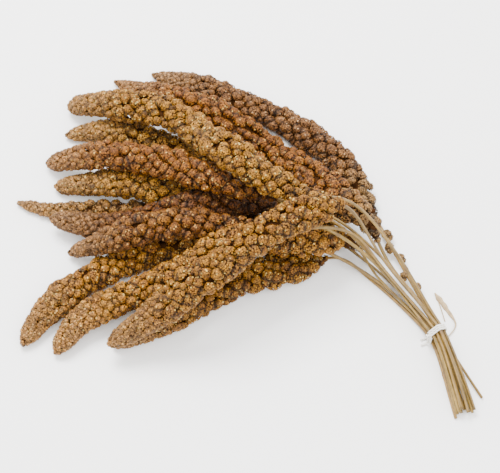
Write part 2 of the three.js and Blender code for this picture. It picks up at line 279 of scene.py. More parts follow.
def icosahedron():
    """The points and faces of the ball inside a cluster."""
    g = (1 + math.sqrt(5)) / 2
    corners = [(-1, g, 0), (1, g, 0), (-1, -g, 0), (1, -g, 0), (0, -1, g), (0, 1, g), (0, -1, -g),
               (0, 1, -g), (g, 0, -1), (g, 0, 1), (-g, 0, -1), (-g, 0, 1)]
    faces = [(0, 11, 5), (0, 5, 1), (0, 1, 7), (0, 7, 10), (0, 10, 11), (1, 5, 9), (5, 11, 4), (11, 10, 2),
             (10, 7, 6), (7, 1, 8), (3, 9, 4), (3, 4, 2), (3, 2, 6), (3, 6, 8), (3, 8, 9), (4, 9, 5),
             (2, 4, 11), (6, 2, 10), (8, 6, 7), (9, 8, 1)]
    return unit(np.array(corners, dtype=float)), np.array(faces)


# Clusters of seeds, from the small ones that merge at the tip to the full ones further back
TIP_CLUSTER = 2.7 * MM
FULL_CLUSTER = 5.0 * MM
CLUSTER_TAPER = 90 * MM
FIRST_CLUSTER = 2.6 * MM  # behind the tip
LAST_CLUSTER = 4 * MM  # before the end of the seeds
CLUSTER_SIZES = (0.72, 1.3)  # the smallest and the largest, of the usual size at that place
CLUSTER_PROUD = (-0.15, 0.11)  # how far they sink in or stand out, of the head's radius
CLUSTER_LEAN = 0.22  # towards the tip, for each part outwards
CROWN = 9 * MM  # the very tip, where the clusters point ahead
CROWN_LEAN = 3
CORE_DEPTH = 1.1 * MM  # from the outside of a cluster to the dark ball inside it
TIP_APART = 1.1  # between the middles of neighbouring clusters, in their radii
FULL_APART = 1.55
PACKED = 0.87  # the share of a square of its pitch that each takes up when they are packed close
GOLDEN_ANGLE = math.radians(137.508)

# The seeds on the clusters
SEED_PITCH = 1.62 * MM
SEED_PROUD = 0.14 * MM
LUMPS = 0.07  # how far a cluster is from round, of its radius
OUTER_SIDE = math.radians(102)  # how far round a cluster its seeds go
ALL_ROUND = math.radians(165)  # the same for a loose cluster
NEIGHBOURS = 21  # how many clusters before and after one can touch it
SUNK = 0.98  # seeds whose tops are nearer than this to a neighbour's middle, in its radii, are left out
UNDERSIDE = 3 * MM  # seeds lower than this that face the table are left out


def cluster_axes(out, ahead):
    """The directions out of each cluster, across it, and along the head."""
    side = unit(np.cross(out, ahead))
    return np.stack([out, side, np.cross(side, out)], axis=1)


def clusters_of(head, path, draw):
    """The clusters round a head: middles, axes, shapes along those, radii, and places along the head."""
    length = head["seeds"] * MM
    s, turns, sizes = [FIRST_CLUSTER], [0.0], [0.9 * TIP_CLUSTER]
    while s[-1] < length - LAST_CLUSTER:
        here = s[-1]
        around = head_radius(head, here)
        full = ease(here / CLUSTER_TAPER)
        size = TIP_CLUSTER + (FULL_CLUSTER - TIP_CLUSTER) * full
        size = min(size, 0.5 * around + 1.1 * MM) * draw.uniform(*CLUSTER_SIZES)
        pitch = (TIP_APART + (FULL_APART - TIP_APART) * full) * size
        girth = 2 * math.pi * max(around - size, 0.5 * size) * math.sqrt((1 + PRESSED**2) / 2)
        s.append(here + PACKED * pitch * pitch / max(girth, pitch))
        turns.append(turns[-1] + GOLDEN_ANGLE + draw.normal(0, 0.1))
        sizes.append(size)
    s, turns, sizes = np.array(s), np.array(turns), np.array(sizes)
    s = s + draw.normal(0, 0.1, len(s)) * sizes * ease(s / (20 * MM))
    point, ahead, beside, above = frames_at(path, s)
    proud = draw.uniform(*CLUSTER_PROUD, len(s)) * ease(s / CLUSTER_TAPER)
    radius = head_radius(head, s) * (0.99 + proud)
    wide = np.maximum(radius - sizes, 0)[:, None]
    high = np.maximum(radius * PRESSED - sizes, 0)[:, None]
    sine, cosine = np.sin(turns)[:, None], np.cos(turns)[:, None]
    centre = point + beside * sine * wide + above * cosine * high
    forwards = (CLUSTER_LEAN + CROWN_LEAN * (1 - ease(s / CROWN)))[:, None]
    out = unit(beside * sine * PRESSED + above * cosine - forwards * ahead)
    shape = np.column_stack([draw.uniform(0.9, 1.12, len(s)), draw.uniform(0.84, 1.08, len(s)),
                             draw.uniform(0.95, 1.3, len(s))])
    return centre, cluster_axes(out, ahead), shape, sizes, s


def seeds_of(centre, axes, shape, sizes, sides, draw):
    """The seeds over each cluster, crowded evenly over its outer side: where, which way, and whose."""
    spots, ways, owner = [], [], []
    for k, size in enumerate(sizes):
        share = 1 - math.cos(sides[k])
        count = max(6, round(2 * math.pi * share * size**2 / (PACKED * SEED_PITCH**2)))
        i = np.arange(count) + 0.5
        down = np.arccos(1 - share * i / count) + draw.normal(0, 0.05, count)
        turn = i * GOLDEN_ANGLE + draw.uniform(0, 2 * math.pi) + draw.normal(0, 0.1, count)
        ball = np.column_stack([np.cos(down), np.sin(down) * np.cos(turn), np.sin(down) * np.sin(turn)])
        first, second = draw.uniform(0, 2 * math.pi, 2)
        lump = 1 + LUMPS * np.sin(down) * (np.cos(2 * turn + first) + np.cos(3 * turn + second))
        proud = draw.uniform(-SEED_PROUD, SEED_PROUD, count)
        reach_out = lump * (size - SEED_HEIGHT * SEED_RADIUS) + proud
        spots.append(centre[k] + (ball * shape[k] * reach_out[:, None]) @ axes[k])
        ways.append(unit((ball / shape[k]) @ axes[k]))
        owner.append(np.full(count, k))
    return np.concatenate(spots), np.concatenate(ways), np.concatenate(owner)


def clearance(spots, owner, centre, axes, shape, sizes):
    """How far each seed's top is from the middle of the nearest neighbouring cluster, in its radii."""
    least = np.full(len(spots), 2.0)
    for step in range(1, NEIGHBOURS + 1):
        for sign in (-1, 1):
            other = owner + sign * step
            real = (other >= 0) & (other < len(centre))
            other = np.where(real, other, owner)
            offset = np.einsum("nij,nj->ni", axes[other], spots - centre[other]) / shape[other]
            apart = (np.linalg.norm(offset, axis=1) + SEED_HEIGHT * SEED_RADIUS) / sizes[other]
            least = np.minimum(least, np.where(real, apart, 2.0))
    return least


TABLE_GAP = 0.05 * MM  # under the lowest points of every piece
SEED, CREVICE, STRAW = 0, 1, 2  # the places of the three materials in a head's mesh


class Build:
    """Gathers the points, faces and values of one piece's mesh."""

    def __init__(self):
        self.points, self.faces, self.slots = [], [], []
        self.values = {"tone": [], "top": [], "along": [], "around": []}
        self.count = 0

    def add(self, points, faces, slot, **values):
        self.points.append(points)
        self.faces.append(faces + self.count)
        self.slots.append(np.full(len(faces), slot))
        for name, all_values in self.values.items():
            width = 3 if name == "tone" else 1
            value = np.asarray(values.get(name, 0.0), dtype=float)
            all_values.append(np.broadcast_to(value.reshape(-1, width) if value.ndim else value,
                                              (len(points), width)))
        self.count += len(points)

    def object(self, name, materials):
        points = np.concatenate(self.points)
        points[:, 2] = np.maximum(points[:, 2], TABLE_GAP)
        faces = np.concatenate(self.faces)
        mesh = bpy.data.meshes.new(name)
        mesh.vertices.add(len(points))
        mesh.vertices.foreach_set("co", points.astype(np.float32).ravel())
        mesh.loops.add(faces.size)
        mesh.loops.foreach_set("vertex_index", faces.astype(np.int32).ravel())
        mesh.polygons.add(len(faces))
        mesh.polygons.foreach_set("loop_start", np.arange(0, faces.size, 3, dtype=np.int32))
        mesh.polygons.foreach_set("material_index", np.concatenate(self.slots).astype(np.int32))
        mesh.polygons.foreach_set("use_smooth", np.ones(len(faces), bool))
        for value, parts in self.values.items():
            kept = np.concatenate(parts)
            if value == "tone":
                layer = mesh.attributes.new(value, "FLOAT_COLOR", "POINT")
                colour = np.column_stack([kept, np.ones(len(kept))])
                layer.data.foreach_set("color", colour.astype(np.float32).ravel())
            else:
                layer = mesh.attributes.new(value, "FLOAT", "POINT")
                layer.data.foreach_set("value", kept.astype(np.float32).ravel())
        mesh.update(calc_edges=True)
        mesh.validate()
        for material in materials:
            mesh.materials.append(material)
        piece = bpy.data.objects.new(name, mesh)
        bpy.context.scene.collection.objects.link(piece)
        return piece


# Seed colours, linear: of a fresh seed, of a weathered one, and of the pale husks among them
HUSKS = {
    "wheat": ((0.377, 0.176, 0.016), (0.213, 0.082, 0.0066), (0.492, 0.344, 0.107)),
    "gold": ((0.287, 0.123, 0.0066), (0.139, 0.046, 0.0025), (0.41, 0.262, 0.066)),
    "amber": ((0.353, 0.152, 0.011), (0.18, 0.061, 0.0041), (0.459, 0.295, 0.082)),
    "brown": ((0.205, 0.076, 0.0045), (0.1, 0.028, 0.0014), (0.32, 0.165, 0.04)),
    "umber": ((0.135, 0.042, 0.0022), (0.06, 0.016, 0.0006), (0.24, 0.115, 0.025)),
    "russet": ((0.246, 0.086, 0.0049), (0.119, 0.033, 0.0016), (0.361, 0.205, 0.049)),
    "pink": ((0.205, 0.085, 0.02), (0.107, 0.039, 0.0082), (0.312, 0.18, 0.082)),
    "fawn": ((0.271, 0.127, 0.021), (0.148, 0.059, 0.0082), (0.394, 0.271, 0.115)),
    "olive": ((0.336, 0.148, 0.0098), (0.164, 0.061, 0.0033), (0.443, 0.312, 0.09)),
}
# the pale colour of the tip: partly its husks' own colour, partly a painted sheen
TIP_TONE_AND_SHEEN = np.array((0.35, 0.185, 0.07))
FADED_HUSK = np.array((0.221, 0.135, 0.045))
PALE_SHARE = 0.06  # of the seeds are pale husks
TIP_FADE = 75 * MM  # over which the colour of the tip gives way
BASE_FADE = (60 * MM, 45 * MM)  # where the faded seeds begin before the head's end, and over what length
PAINTED_SHADE_REACH = 0.45  # how far the painted shade of the crevices reaches over a neighbour's outside, in its radii


def seed_tones(head, owner, clear, s, draw):
    """Each seed's colour: by its head, its cluster, its place along the head, and by chance, with a pale tip
    that is partly its husks' own colour and partly a painted sheen.
    Seeds get painted shade in the crevices, where their cluster meets its neighbours."""
    count = len(owner)
    place = s[owner]
    fresh, worn, pale = (np.array(c) for c in HUSKS[head["husk"]])
    cluster = draw.beta(2, 2, len(s))[owner]
    age = np.clip(0.5 * cluster + 0.5 * draw.uniform(0, 1, count), 0, 1)[:, None]
    tone = fresh + (worn - fresh) * ease(age)
    husk = (draw.uniform(0, 1, count) < PALE_SHARE)[:, None]
    tone = np.where(husk, pale, tone)
    # pale tip: partly the husks' own colour, partly a painted sheen
    tip = (0.8 * ease(1 - place / TIP_FADE) * draw.uniform(0.25, 1, count))[:, None]
    tone = tone + (TIP_TONE_AND_SHEEN - tone) * tip
    end = (head["faded"] * ease((place - head["seeds"] * MM + BASE_FADE[0]) / BASE_FADE[1]))[:, None]
    tone = tone + (FADED_HUSK - tone) * end * draw.uniform(0.6, 1, count)[:, None]
    # painted shade: seeds darken towards the crevices between clusters, more deeply where the clusters are
    # full
    darkest_painted_shade = 0.42 - 0.3 * ease(place / CLUSTER_TAPER)
    painted_crevice_shade = darkest_painted_shade + (1 - darkest_painted_shade) * ease((clear - SUNK) / PAINTED_SHADE_REACH)
    return tone * (painted_crevice_shade * draw.uniform(0.5, 1.5, count))[:, None]


def add_seeds(build, spots, ways, tones, draw):
    """The single seeds, each a dome turned at random about its own way out."""
    dome, tops, faces = seed_dome()
    count = len(spots)
    helper = np.where(np.abs(ways[:, 2:3]) < 0.9, [[0, 0, 1.0]], [[1.0, 0, 0]])
    a = unit(np.cross(ways, helper))
    b = np.cross(ways, a)
    spin = draw.uniform(0, 2 * math.pi, count)[:, None]
    a, b = a * np.cos(spin) + b * np.sin(spin), b * np.cos(spin) - a * np.sin(spin)
    size = SEED_RADIUS * draw.uniform(*SEED_SIZES, count)[:, None, None]
    points = spots[:, None] + size * (dome[None, :, 0:1] * a[:, None] * (1 + SEED_OVAL)
                                      + dome[None, :, 1:2] * b[:, None] * (1 - SEED_OVAL)
                                      + dome[None, :, 2:3] * ways[:, None])
    build.add(points.reshape(-1, 3),
              (faces[None] + (np.arange(count) * len(dome))[:, None, None]).reshape(-1, 3), SEED,
              tone=np.repeat(tones, len(dome), axis=0), top=np.tile(tops, count))


def add_cores(build, centre, axes, shape, sizes):
    """The ball inside each cluster, which shows between its seeds, near-black as painted shade."""
    ball, faces = icosahedron()
    points = centre[:, None] + (ball[None] * (shape * (sizes - CORE_DEPTH)[:, None])[:, None]) @ axes
    build.add(points.reshape(-1, 3),
              (faces[None] + (np.arange(len(centre)) * len(ball))[:, None, None]).reshape(-1, 3), CREVICE)


def tube_faces(rings, sides):
    """The faces of a tube of rings of points, closed at both ends by its last two points."""
    i, j = np.meshgrid(np.arange(rings - 1), np.arange(sides), indexing="ij")
    n = (j + 1) % sides
    a, b, c, d = i * sides + j, i * sides + n, (i + 1) * sides + n, (i + 1) * sides + j
    walls = np.concatenate([np.stack([a, b, c], axis=-1), np.stack([a, c, d], axis=-1)]).reshape(-1, 3)
    k = np.arange(sides)
    m = (k + 1) % sides
    first, last = rings * sides, rings * sides + 1
    start = np.stack([m, k, np.full(sides, first)], axis=-1)
    end = np.stack([(rings - 1) * sides + k, (rings - 1) * sides + m, np.full(sides, last)], axis=-1)
    return np.concatenate([walls, start, end])


STALK_SIDES = 10
STALK_START = 6 * MM  # behind the tip
STALK_STEP = 5 * MM
STALK_DEPTH = 1.3 * FULL_CLUSTER  # from the outside of the head, as far as that is thick enough


def add_stalk(build, head, path):
    """The middle of the head, which the clusters hide, near-black as painted shade."""
    s = np.arange(STALK_START, head["seeds"] * MM, STALK_STEP)
    point, ahead, beside, above = frames_at(path, s)
    turn = np.arange(STALK_SIDES) * 2 * math.pi / STALK_SIDES
    radius = head_radius(head, s)[:, None, None]
    depth = np.minimum(STALK_DEPTH, 0.6 * radius)
    ring = (point[:, None] + beside[:, None] * -np.sin(turn)[None, :, None] * (radius - depth)
            + above[:, None] * np.cos(turn)[None, :, None] * (radius * PRESSED - depth))
    points = np.concatenate([ring.reshape(-1, 3), point[:1], point[-1:]])
    build.add(points, tube_faces(len(s), STALK_SIDES), CREVICE)


# The bare stem: straw with fine ribs, flattened a little, with one or two joints along it
STRAW_SIDES = 14
STRAW_RADIUS = 1.36 * MM
STRAW_STEP = 2 * MM
STRAW_FLAT = 0.26  # how much thinner it is one way than the other
STRAW_TWIST = 90 * MM  # the length over which the way that it is flattened turns by one radian
STRAW_RIBS = 7
STRAW_RIB = 0.045  # of its radius
STRAW_JOINT = 0.3 * MM  # how far a joint stands out
JOINT_LENGTH = 1.6 * MM
JOINT_SHADE = 2.2 * MM
STRAW_HIDDEN = 40  # millimetres of the stem, at the most, are covered by the last seeds
SHADED = 60 * MM  # over which the stem is darker where it leaves the seeds
PITH_DEPTH = 0.4 * MM
STRAW_GOLD = np.array((0.31, 0.178, 0.026))
STRAW_OLIVE = np.array((0.2, 0.14, 0.024))
STRAW_BROWN = np.array((0.14, 0.065, 0.025))
STRAW_PITH = np.array((0.55, 0.44, 0.26))


def add_stem(build, head, path, draw):
    """The bare stem, from under the last seeds to its cut end."""
    start = head["seeds"] * MM - min(STRAW_HIDDEN, head["thins"]) * MM
    length = path[1][-1]
    s = np.arange(start, length, STRAW_STEP)
    s[-1] = length
    point, ahead, beside, above = frames_at(path, s)
    turn = np.arange(STRAW_SIDES) * 2 * math.pi / STRAW_SIDES
    r = STRAW_RADIUS * (1 + 0.04 * np.sin(s / (23 * MM) + head["number"]))
    joint_shade = np.zeros(len(s))
    for joint in draw.uniform(start + 35 * MM, length - 15 * MM, 1 + head["number"] % 2):
        r = r + STRAW_JOINT * np.exp(-(((s - joint) / JOINT_LENGTH) ** 2))
        joint_shade = np.maximum(joint_shade, np.exp(-(((s - joint) / JOINT_SHADE) ** 2)))
    ribs = 1 + STRAW_RIB * np.cos(turn * STRAW_RIBS + head["number"])
    lie = draw.uniform(0, math.pi) + s / STRAW_TWIST
    flatten = 1 - STRAW_FLAT * np.cos(turn[None, :] - lie[:, None]) ** 2
    r = (r[:, None] * ribs[None, :] * flatten)[:, :, None]
    ring = point[:, None] + r * (beside[:, None] * -np.sin(turn)[None, :, None]
                                 + above[:, None] * np.cos(turn)[None, :, None])
    points = np.concatenate([ring.reshape(-1, 3), point[:1], point[-1:] - PITH_DEPTH * ahead[-1:]])
    straw = STRAW_GOLD * draw.uniform(0.8, 1.15)
    straw = straw + (STRAW_OLIVE - straw) * draw.uniform(0, 0.6)
    straw = straw + (STRAW_BROWN - straw) * draw.uniform(0, 0.4)
    dark = np.maximum(0.5 * ease(1 - (s - start) / SHADED), 0.6 * joint_shade)[:, None]
    tone = straw + (STRAW_BROWN - straw) * dark
    tones = np.concatenate([np.repeat(tone, STRAW_SIDES, axis=0), tone[:1], [STRAW_PITH]])
    along = np.concatenate([np.repeat(s, STRAW_SIDES), s[:1], s[-1:]]) + head["number"]
    around = np.concatenate([np.tile(turn, len(s)), [0, 0]])
    build.add(points, tube_faces(len(s), STRAW_SIDES), STRAW, tone=tones, along=along, around=around)


def strays_of(head, path):
    """The loose clusters behind a head, where the solids have them, each with a smaller one grown on it."""
    draw = stray_draws(head["number"] * 104729)
    centre, out, ahead, sizes = [], [], [], []
    for k in range(head["strays"]):
        size = (4.6 - 0.35 * k + 0.5 * next(draw)) * MM
        s = head["seeds"] * MM + STRAY_STEP * (k + 0.1 + 0.3 * next(draw))
        angle = (1.9 if k % 2 else -1.5) + 0.6 * (next(draw) - 0.5)
        point, fore, beside, above = (v[0] for v in frames_at(path, np.array([s])))
        way = beside * math.sin(angle) + above * math.cos(angle)
        middle = point + way * (STRAY_REACH - size - 0.3 * MM)
        for offset, share in ((0, 1), (1, 0.72)):
            centre.append(middle + offset * (0.75 * fore + 0.25 * way) * size)
            out.append(way)
            ahead.append(fore)
            sizes.append(size * share)
    return np.array(centre), cluster_axes(np.array(out), np.array(ahead)), np.array(sizes)


def attribute(nodes, name):
    """The values that a mesh carries under a name, for its material."""
    node = nodes.new("ShaderNodeAttribute")
    node.attribute_name = name
    return node


def new_material(name):
    """A plain material, with its nodes, its links and its shader."""
    material = bpy.data.materials.new(name)
    material.use_nodes = True
    nodes, links = material.node_tree.nodes, material.node_tree.links
    return material, nodes, links, nodes["Principled BSDF"]


def speckle_group():
    """Small blotches that lighten and darken a colour, as dry plant skin has them."""
    group = bpy.data.node_groups.new("speckle", "ShaderNodeTree")
    group.interface.new_socket("Color", in_out="INPUT", socket_type="NodeSocketColor")
    scale = group.interface.new_socket("Scale", in_out="INPUT", socket_type="NodeSocketFloat")
    scale.default_value = 900
    amount = group.interface.new_socket("Amount", in_out="INPUT", socket_type="NodeSocketFloat")
    amount.default_value = 0.3
    group.interface.new_socket("Color", in_out="OUTPUT", socket_type="NodeSocketColor")
    group.interface.new_socket("Mask", in_out="OUTPUT", socket_type="NodeSocketFloat")
    nodes, links = group.nodes, group.links
    given, result = nodes.new("NodeGroupInput"), nodes.new("NodeGroupOutput")
    place = nodes.new("ShaderNodeNewGeometry")
    noise = nodes.new("ShaderNodeTexNoise")
    noise.inputs["Detail"].default_value = 3
    spread = nodes.new("ShaderNodeMapRange")
    spread.inputs["From Min"].default_value = 0.3
    spread.inputs["From Max"].default_value = 0.7
    spread.inputs["To Min"].default_value = -1
    spread.inputs["To Max"].default_value = 1
    strength = nodes.new("ShaderNodeMath")
    strength.operation = "MULTIPLY_ADD"
    strength.inputs[2].default_value = 1
    scaled = nodes.new("ShaderNodeVectorMath")
    scaled.operation = "SCALE"
    links.new(place.outputs["Position"], noise.inputs["Vector"])
    links.new(given.outputs["Scale"], noise.inputs["Scale"])
    links.new(noise.outputs["Fac"], spread.inputs["Value"])
    links.new(spread.outputs["Result"], strength.inputs[0])
    links.new(given.outputs["Amount"], strength.inputs[1])
    links.new(given.outputs["Color"], scaled.inputs[0])
    links.new(strength.outputs[0], scaled.inputs["Scale"])
    links.new(scaled.outputs["Vector"], result.inputs["Color"])
    links.new(noise.outputs["Fac"], result.inputs["Mask"])
    return group


speckle = speckle_group()


def add_speckle(nodes, scale, amount):
    """The blotches, placed in one material with its own values."""
    node = nodes.new("ShaderNodeGroup")
    node.node_tree = speckle
    node.inputs["Scale"].default_value = scale
    node.inputs["Amount"].default_value = amount
    return node


def seed_skin():
    """Satin husk: the seed's own colour, with painted shade at its foot, where it sits between its
    neighbours, and a little painted light on its top.
    """
    material, nodes, links, shader = new_material("millet_seed_skin")
    tone = attribute(nodes, "tone")
    top = attribute(nodes, "top")
    # painted shade at the foot of each seed and slight painted light on its top, by how high a point is on
    # it
    painted_foot_shade = nodes.new("ShaderNodeMapRange")
    painted_foot_shade.inputs["From Max"].default_value = 0.75
    painted_foot_shade.inputs["To Min"].default_value = 0.42
    painted_foot_shade.inputs["To Max"].default_value = 1.08
    shaded = nodes.new("ShaderNodeVectorMath")
    shaded.operation = "SCALE"
    blotch = add_speckle(nodes, 900, 0.25)
    links.new(top.outputs["Fac"], painted_foot_shade.inputs["Value"])
    links.new(tone.outputs["Color"], shaded.inputs[0])
    links.new(painted_foot_shade.outputs["Result"], shaded.inputs["Scale"])
    links.new(shaded.outputs["Vector"], blotch.inputs["Color"])
    links.new(blotch.outputs["Color"], shader.inputs["Base Color"])
    gloss = nodes.new("ShaderNodeMapRange")
    gloss.inputs["To Min"].default_value = 0.36
    gloss.inputs["To Max"].default_value = 0.7
    links.new(blotch.outputs["Mask"], gloss.inputs["Value"])
    links.new(gloss.outputs["Result"], shader.inputs["Roughness"])
    shader.inputs["Specular IOR Level"].default_value = 0.2
    return material


def crevice_painted_shade_skin():
    """The chaff and stalks between the clusters: their own brown darkened to nearly black as painted shade.
    """
    material, nodes, links, shader = new_material("millet_crevice_painted_shade")
    blotch = add_speckle(nodes, 1100, 0.6)
    # near-black painted shade for the crevices between the clusters
    blotch.inputs["Color"].default_value = (0.035, 0.012, 0.002, 1)
    links.new(blotch.outputs["Color"], shader.inputs["Base Color"])
    shader.inputs["Roughness"].default_value = 0.9
    shader.inputs["Specular IOR Level"].default_value = 0.1
    return material


def straw_skin():
    """Straw: fine fibres along the stem, in lighter and darker streaks."""
    material, nodes, links, shader = new_material("millet_straw")
    tone = attribute(nodes, "tone")
    along = attribute(nodes, "along")
    around = attribute(nodes, "around")
    stretch = nodes.new("ShaderNodeMath")
    stretch.operation = "MULTIPLY"
    stretch.inputs[1].default_value = 12
    cosine, sine = nodes.new("ShaderNodeMath"), nodes.new("ShaderNodeMath")
    cosine.operation, sine.operation = "COSINE", "SINE"
    joined = nodes.new("ShaderNodeCombineXYZ")
    fibre = nodes.new("ShaderNodeTexNoise")
    fibre.inputs["Scale"].default_value = 3.2
    fibre.inputs["Detail"].default_value = 4
    streak = nodes.new("ShaderNodeMapRange")
    streak.inputs["From Min"].default_value = 0.36
    streak.inputs["From Max"].default_value = 0.62
    streak.inputs["To Min"].default_value = 0.28
    streak.inputs["To Max"].default_value = 1.2
    shaded = nodes.new("ShaderNodeVectorMath")
    shaded.operation = "SCALE"
    blotch = add_speckle(nodes, 260, 0.25)
    bump = nodes.new("ShaderNodeBump")
    bump.inputs["Strength"].default_value = 0.5
    bump.inputs["Distance"].default_value = 0.0003
    links.new(along.outputs["Fac"], stretch.inputs[0])
    links.new(around.outputs["Fac"], cosine.inputs[0])
    links.new(around.outputs["Fac"], sine.inputs[0])
    links.new(cosine.outputs[0], joined.inputs["X"])
    links.new(sine.outputs[0], joined.inputs["Y"])
    links.new(stretch.outputs[0], joined.inputs["Z"])
    links.new(joined.outputs["Vector"], fibre.inputs["Vector"])
    links.new(fibre.outputs["Fac"], streak.inputs["Value"])
    links.new(tone.outputs["Color"], shaded.inputs[0])
    links.new(streak.outputs["Result"], shaded.inputs["Scale"])
    links.new(shaded.outputs["Vector"], blotch.inputs["Color"])
    links.new(blotch.outputs["Color"], shader.inputs["Base Color"])
    links.new(fibre.outputs["Fac"], bump.inputs["Height"])
    links.new(bump.outputs["Normal"], shader.inputs["Normal"])
    shader.inputs["Roughness"].default_value = 0.5
    return material


routes = lay(HEADS)
paths = [path_through(route) for route in routes]
head_materials = [seed_skin(), crevice_painted_shade_skin(), straw_skin()]


for n, head in enumerate(HEADS):
    draw = np.random.default_rng(head["number"])
    path = paths[n]
    centre, axes, shape, sizes, s = clusters_of(head, path, draw)
    sides = np.full(len(sizes), OUTER_SIDE)
    if head["strays"]:
        loose = strays_of(head, path)
        centre, axes, sizes = (np.concatenate(pair) for pair in zip((centre, axes, sizes), loose))
        extra = len(sizes) - len(s)
        shape = np.concatenate([shape, np.ones((extra, 3))])
        s = np.concatenate([s, np.full(extra, head["seeds"] * MM)])
        sides = np.concatenate([sides, np.full(extra, ALL_ROUND)])
    centre[:, 2] = np.maximum(centre[:, 2], sizes * 0.8)
    spots, ways, owner = seeds_of(centre, axes, shape, sizes, sides, draw)
    clear = clearance(spots, owner, centre, axes, shape, sizes)
    tones = seed_tones(head, owner, clear, s, draw)
    on_table = (spots[:, 2] < UNDERSIDE) & (ways[:, 2] < -0.5)
    straight_down = ways[:, 2] <= -0.93
    seen = (clear > SUNK) & ~straight_down & ~on_table
    build = Build()
    add_seeds(build, spots[seen], ways[seen], tones[seen], draw)
    add_cores(build, centre, axes, shape, sizes)
    add_stalk(build, head, path)
    add_stem(build, head, path, draw)
    piece = build.object(f"seed_head_{head['number']:02d}", head_materials)
    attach(piece, "root")
    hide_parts(f"millet_head_{head['number']:02d}")


# The tie thread
# Soft white two-ply cotton, wound three times round the bound stems and knotted on their left, where its
# two loose ends stand out just above the table.

TURNS = 3
TURN_STEPS = 48
THREAD_SIDES = 12
THREAD_RADIUS = 0.76 * MM
PLY_PITCH = 3.2 * MM  # along the thread, for one full twist of its two plies
PLY_DEPTH = 0.16
STRAND_STEP = 0.4 * MM  # between the rings of points of a strand
KNOT_LOOP = 0.62 * MM
KNOT_POINTS = 60
TAIL_HEIGHT = THREAD / 2 + 0.5 * MM
THREAD_TAILS = [[(130, -92), (134, -90.5)], [(130, -96.5), (134, -95)]]


def sweep(points):
    """The way ahead at each point of a path, and two directions across it that turn as little as they
    can."""
    ahead = unit(np.gradient(points, axis=0))
    side = unit(np.cross(ahead[0], [0.1, 0.2, 1]))
    sides = []
    for way in ahead:
        side = unit(side - way * (side @ way))
        sides.append(side)
    sides = np.array(sides)
    return ahead, sides, np.cross(ahead, sides)


def add_strand(build, points, radius, step, plies=False):
    """A round strand along a path, with the grooves between its two twisted plies if it has them."""
    points = even_points(np.asarray(points), step, 12 * len(points))
    ahead, side, other = sweep(points)
    run = np.arange(len(points)) * step
    turn = np.arange(THREAD_SIDES) * 2 * math.pi / THREAD_SIDES
    ply_groove_and_painted_shade = np.abs(np.cos(turn[None, :] - (math.pi * run / PLY_PITCH)[:, None])) if plies else 1
    r = np.broadcast_to(radius * (1 - PLY_DEPTH * (1 - ply_groove_and_painted_shade)), (len(points), THREAD_SIDES))[:, :, None]
    ring = points[:, None] + r * (side[:, None] * np.cos(turn)[None, :, None]
                                  + other[:, None] * np.sin(turn)[None, :, None])
    mesh_points = np.concatenate([ring.reshape(-1, 3), points[:1], points[-1:]])
    # the grooves also carry the painted shade in the thread's colour, through top
    top = np.broadcast_to(ply_groove_and_painted_shade, (len(points), THREAD_SIDES)).ravel()
    tops = np.concatenate([top, [0.5, 0.5]])
    along = np.concatenate([np.repeat(run, THREAD_SIDES), run[:1], run[-1:]])
    around = np.concatenate([np.tile(turn, len(points)), [0, 0]])
    build.add(mesh_points, tube_faces(len(points), THREAD_SIDES)[:, ::-1], 0, top=tops, along=along,
              around=around)


def thread_turns():
    """The middle of the thread as it winds round the outermost of the bound stems."""
    along, across = heading(TIE_HEADING)
    nearest = [route[np.argmin(np.linalg.norm(route[:, :2] - TIE, axis=1))] for route in routes]
    bound = np.array([[(p[:2] - TIE) @ across, p[2]] for p in nearest])
    points = []
    for k in range(TURN_STEPS * TURNS + 1):
        turns = k / TURN_STEPS
        way = np.array([math.cos(math.pi - 2 * math.pi * turns), math.sin(math.pi - 2 * math.pi * turns)])
        at = bound[np.argmax(bound @ way)] + way * (STEM_RADIUS + THREAD_GAP + THREAD / 2 - 0.2 * MM)
        place = TIE + across * at[0] + along * (turns - TURNS / 2) * THREAD - MIDDLE
        points.append([*place, at[1]])
    return np.array(points)


def thread_skin():
    """White cotton: with painted shade in the grooves between its plies, and fine fibres."""
    material, nodes, links, shader = new_material("cotton_thread")
    top = attribute(nodes, "top")
    # painted shade: the thread is darker down in the grooves between its plies
    ply_groove_and_painted_shade = nodes.new("ShaderNodeMapRange")
    ply_groove_and_painted_shade.inputs["To Min"].default_value = 0.62
    ply_groove_and_painted_shade.inputs["To Max"].default_value = 1.0
    shaded = nodes.new("ShaderNodeVectorMath")
    shaded.operation = "SCALE"
    shaded.inputs[0].default_value = (0.84, 0.81, 0.74)
    blotch = add_speckle(nodes, 1500, 0.12)
    bump = nodes.new("ShaderNodeBump")
    bump.inputs["Strength"].default_value = 0.5
    bump.inputs["Distance"].default_value = 0.0002
    links.new(top.outputs["Fac"], ply_groove_and_painted_shade.inputs["Value"])
    links.new(ply_groove_and_painted_shade.outputs["Result"], shaded.inputs["Scale"])
    links.new(shaded.outputs["Vector"], blotch.inputs["Color"])
    links.new(blotch.outputs["Color"], shader.inputs["Base Color"])
    links.new(blotch.outputs["Mask"], bump.inputs["Height"])
    links.new(bump.outputs["Normal"], shader.inputs["Normal"])
    shader.inputs["Roughness"].default_value = 0.85
    return material


